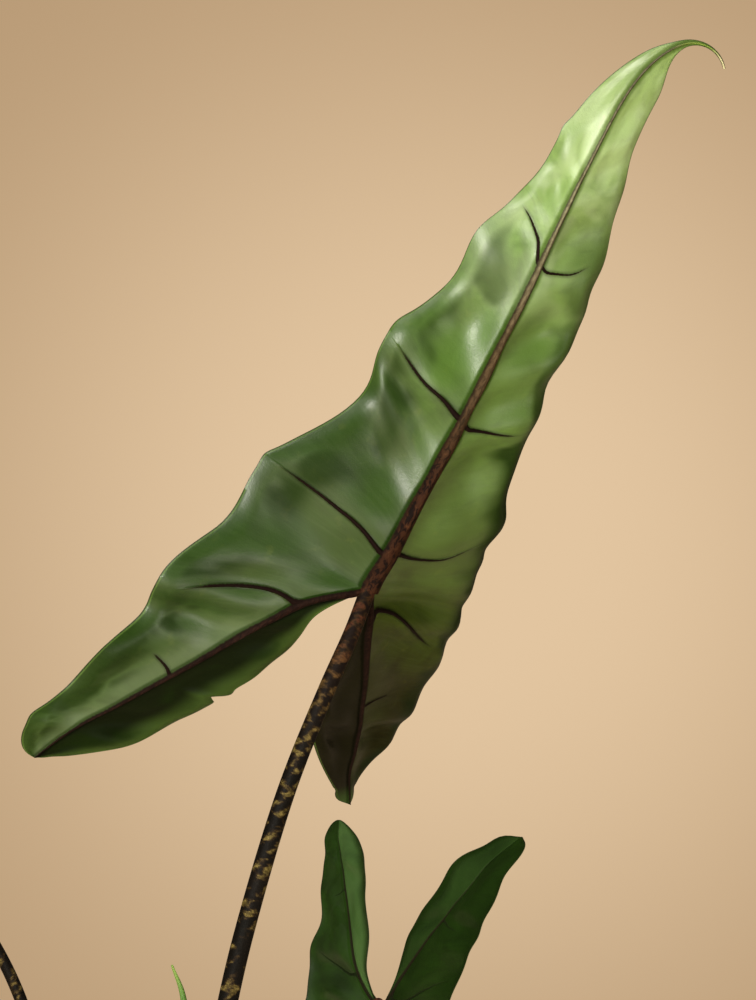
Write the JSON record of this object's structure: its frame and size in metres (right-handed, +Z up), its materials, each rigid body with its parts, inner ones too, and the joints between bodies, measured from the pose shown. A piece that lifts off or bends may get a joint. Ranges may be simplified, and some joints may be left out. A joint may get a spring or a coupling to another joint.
{
  "type": "potted tigrina superba alocasia",
  "caption": "Foliage plant with long arrow-shaped leaves on mottled stalks, standing in a plain round pot of soil.",
  "frame": {"origin": "centre of the pot's flat base, on the surface that it stands on", "axes": "+Z up, +X to the right and +Y away from the viewer of the picture"},
  "size_m": [0.4536, 0.3052, 0.7776],
  "materials": {
    "pot": "plain matte stoneware",
    "soil": "loose bark and peat",
    "stalk": "satin plant skin with tan and green bands on near black",
    "leaf": "satin leaf skin with dark raised ribs on the underside",
    "new_leaf": "soft satin leaf skin"
  },
  "bodies": {
    "root": {"pot": "pot", "soil": "soil", "stalk_main": "stalk", "stalk_front": "stalk", "stalk_left": "stalk", "stalk_new": "stalk", "leaf_main": "leaf", "leaf_front": "leaf", "leaf_left": "leaf", "leaf_new": "new_leaf"}
  },
  "joints": []
}
